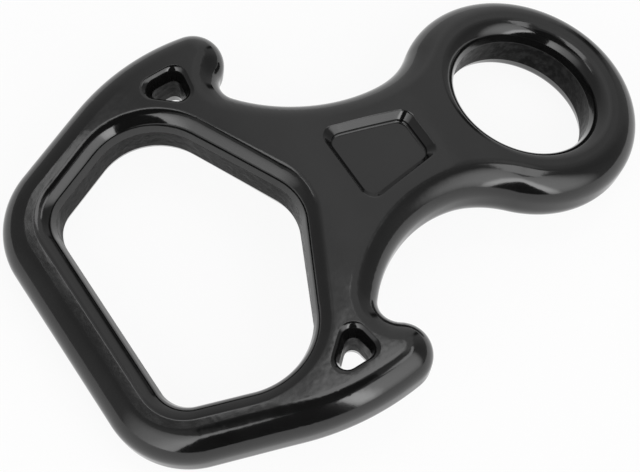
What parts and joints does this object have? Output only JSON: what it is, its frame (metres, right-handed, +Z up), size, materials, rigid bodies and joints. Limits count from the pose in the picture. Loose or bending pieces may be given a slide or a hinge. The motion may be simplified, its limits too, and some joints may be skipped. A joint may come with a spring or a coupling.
{
  "type": "figure eight descender",
  "caption": "Forged figure eight descender with rope ears, a round carabiner eye and a wide pentagonal rope opening, for abseiling, belaying and lowering loads.",
  "frame": {"origin": "middle of the part's box, on the plane that its two ends rest on", "axes": "+X along the body towards the carabiner eye, +Y across it towards one ear, +Z up"},
  "size_m": [0.1408, 0.0934, 0.0245],
  "materials": {
    "black_coat": "glossy black coat over forged aluminium"
  },
  "bodies": {
    "root": {"descender_body": "black_coat"}
  },
  "joints": []
}
